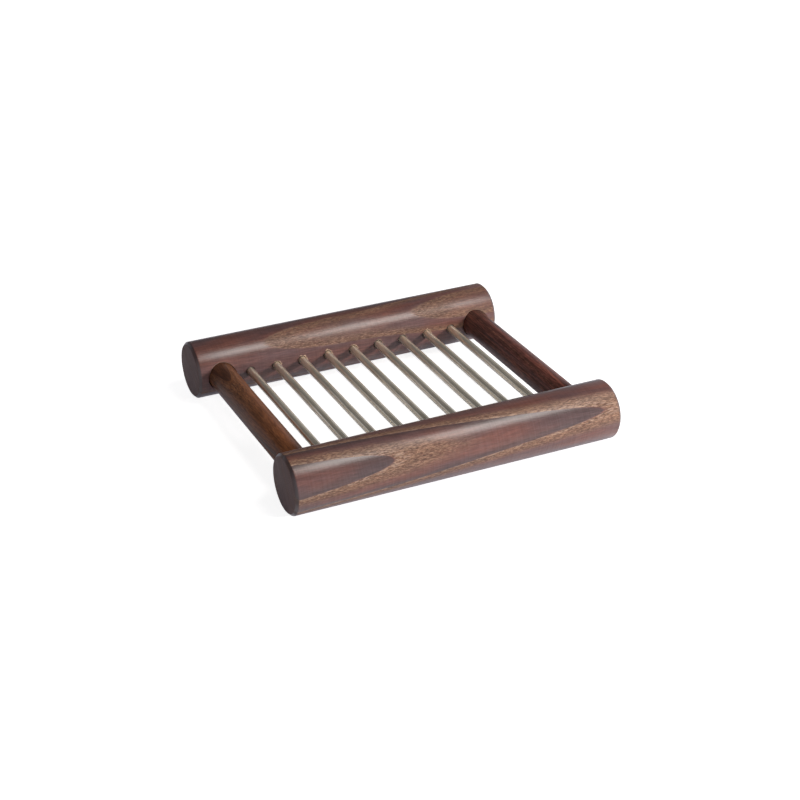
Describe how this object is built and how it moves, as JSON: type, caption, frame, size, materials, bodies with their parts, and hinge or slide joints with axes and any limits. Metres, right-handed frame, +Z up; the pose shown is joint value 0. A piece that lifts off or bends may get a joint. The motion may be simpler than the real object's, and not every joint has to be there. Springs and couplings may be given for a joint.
{
  "type": "soap dish",
  "caption": "Slatted soap dish: round dark wooden rails joined by wooden crossbars and a row of steel rods, which hold the soap up so that it drains and dries.",
  "frame": {"origin": "on the surface that the dish stands on, below the middle of the dish", "axes": "+X along the rails, +Y from the front rail to the rear rail, +Z up"},
  "size_m": [0.121, 0.113, 0.021],
  "materials": {
    "rail_wood": "oiled, heat-treated ash, satin",
    "crossbar_wood": "oiled, heat-treated ash, satin",
    "rod_steel": "drawn stainless steel"
  },
  "bodies": {
    "root": {"front_rail": "rail_wood", "rear_rail": "rail_wood", "left_crossbar": "crossbar_wood", "right_crossbar": "crossbar_wood", "rod_1": "rod_steel", "rod_2": "rod_steel", "rod_3": "rod_steel", "rod_4": "rod_steel", "rod_5": "rod_steel", "rod_6": "rod_steel", "rod_7": "rod_steel", "rod_8": "rod_steel", "rod_9": "rod_steel"}
  },
  "joints": []
}
